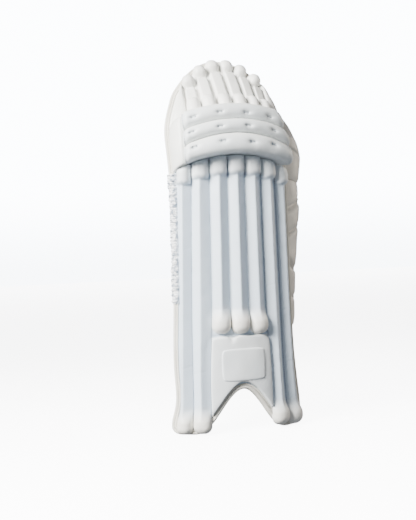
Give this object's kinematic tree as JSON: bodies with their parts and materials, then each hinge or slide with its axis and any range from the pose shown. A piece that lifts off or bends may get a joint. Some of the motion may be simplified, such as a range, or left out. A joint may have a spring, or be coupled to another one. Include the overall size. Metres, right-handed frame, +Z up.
{
  "type": "batting pad",
  "caption": "Traditional cane-fronted batting pad for one leg, with tufted knee rolls, a caned top hat, side wings and straps behind the leg.",
  "frame": {"origin": "middle of the bottom of the bounding box, on the surface that the two horns stand on", "axes": "+Z up along the pad, -Y out of its caned front, +X towards the wings on the outer side of the leg"},
  "size_m": [0.3052, 0.241, 0.679],
  "materials": {
    "shin_leather": "semi-gloss coated",
    "knee_leather": "semi-gloss coated",
    "wing_leather": "semi-gloss coated",
    "binding": "woven tape",
    "lining": "brushed cotton",
    "mesh": "puckered mesh",
    "webbing": "woven webbing"
  },
  "bodies": {
    "root": {"backing": "lining", "edge_binding": "binding", "shin_cane_1": "shin_leather", "shin_cane_2": "shin_leather", "shin_cane_3": "shin_leather", "shin_cane_4": "shin_leather", "shin_cane_5": "shin_leather", "shin_cane_6": "shin_leather", "shin_cane_7": "shin_leather", "knee_roll_1": "knee_leather", "knee_roll_2": "knee_leather", "knee_roll_3": "knee_leather", "knee_side_panel": "knee_leather", "top_cane_1": "knee_leather", "top_cane_2": "knee_leather", "top_cane_3": "knee_leather", "top_cane_4": "knee_leather", "top_cane_5": "knee_leather", "top_cane_6": "knee_leather", "top_side_panel_left": "knee_leather", "top_side_panel_right": "knee_leather", "instep_panel": "shin_leather", "badge_plate": "shin_leather", "calf_wing": "wing_leather", "knee_wing": "wing_leather", "ruffled_strip": "mesh", "knee_strap": "webbing", "calf_strap": "webbing", "ankle_strap": "webbing"}
  },
  "joints": []
}
